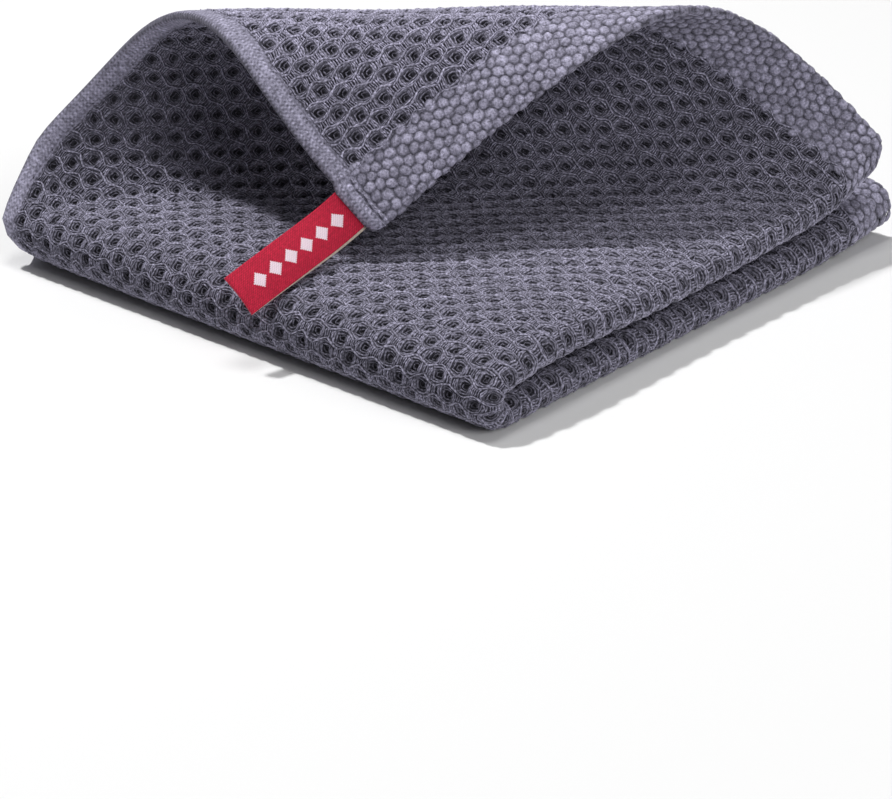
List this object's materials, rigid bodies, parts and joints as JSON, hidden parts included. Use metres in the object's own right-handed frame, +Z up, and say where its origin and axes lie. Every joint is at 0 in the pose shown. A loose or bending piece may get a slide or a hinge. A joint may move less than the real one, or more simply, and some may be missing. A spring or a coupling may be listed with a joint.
{
  "type": "folded kitchen towel",
  "caption": "Square waffle-weave kitchen towel folded in quarters, its free top corner lifted and rolled forward, with a short ribbon label sewn in at that corner.",
  "frame": {"origin": "centre of the underside's bounding box, on the surface the towel rests on", "axes": "+Z up; +X from the folds' left corner to their right corner; +Y from the closed corner towards the back"},
  "size_m": [0.2107, 0.2133, 0.0644],
  "materials": {
    "cloth": "matte waffle-weave cotton",
    "ribbon": "woven ribbon with a low sheen"
  },
  "bodies": {
    "root": {"towel": "cloth", "label": "ribbon"}
  },
  "joints": []
}
